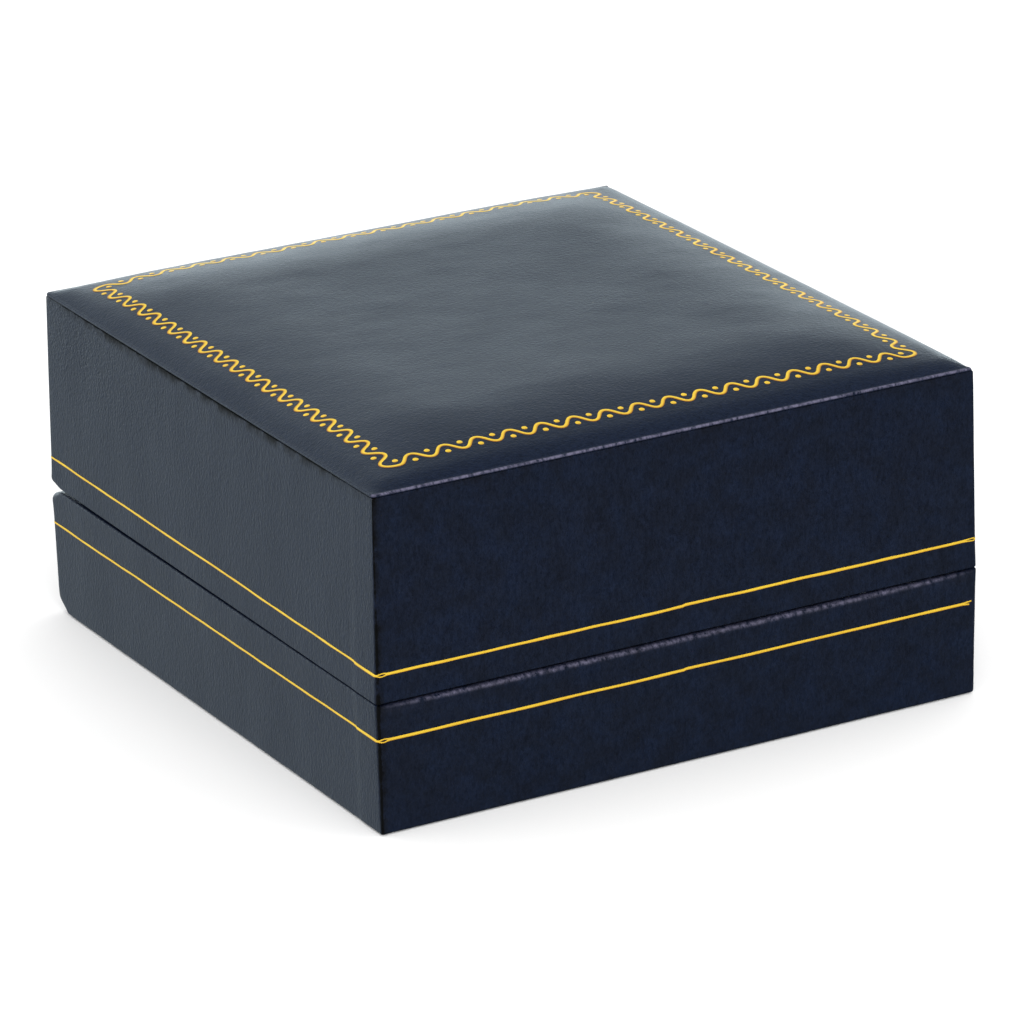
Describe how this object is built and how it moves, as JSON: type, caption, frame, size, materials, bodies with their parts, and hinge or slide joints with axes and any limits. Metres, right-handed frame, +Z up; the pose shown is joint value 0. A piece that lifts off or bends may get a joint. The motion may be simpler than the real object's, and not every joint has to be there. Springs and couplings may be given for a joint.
{
  "type": "jewelry gift box",
  "caption": "Small hinged gift box for jewelry: deep lid over a shallow base, leatherette covers, padded top, velvet pad and satin lining, snap hinge at the back.",
  "frame": {"origin": "middle of the underside, on the surface the box stands on", "axes": "+X along the front to the right, +Y from the front towards the hinge, +Z up"},
  "size_m": [0.09, 0.0953, 0.0495],
  "materials": {
    "leatherette": "fine grain, satin",
    "foil": "hot stamped gold",
    "shell": "moulded",
    "velvet": "short pile",
    "satin": "satin weave",
    "foam": "open foam",
    "card": "greyboard",
    "paper": "embossed",
    "hinge_metal": "plated",
    "spring_steel": "satin"
  },
  "bodies": {
    "base": {"base_shell": "shell", "base_cover": "leatherette", "bottom_sheet": "paper", "base_lining": "velvet", "pad_foam": "foam", "jewelry_pad": "velvet", "base_hinge_leaf": "hinge_metal", "hinge_pin": "hinge_metal", "base_rivet_left": "hinge_metal", "base_rivet_right": "hinge_metal", "spring_rivet": "hinge_metal", "snap_spring": "spring_steel", "hinge_strip_left": "leatherette", "hinge_strip_right": "leatherette"},
    "lid": {"lid_shell": "shell", "lid_cover": "leatherette", "lid_top_foam": "foam", "lid_top_cover": "leatherette", "lid_lining": "satin", "lid_pad_board": "card", "lid_satin_pad": "satin", "lid_hinge_leaf": "hinge_metal", "lid_rivet_left": "hinge_metal", "lid_rivet_right": "hinge_metal"}
  },
  "joints": [
    {"name": "lid_hinge", "type": "hinge", "parent": "base", "child": "lid", "pos_m": [0, 0.04675, 0.01823], "axis": [-1, 0, 0], "range_deg": [0, 95], "deforming": ["hinge_strip_left", "hinge_strip_right"]}
  ]
}
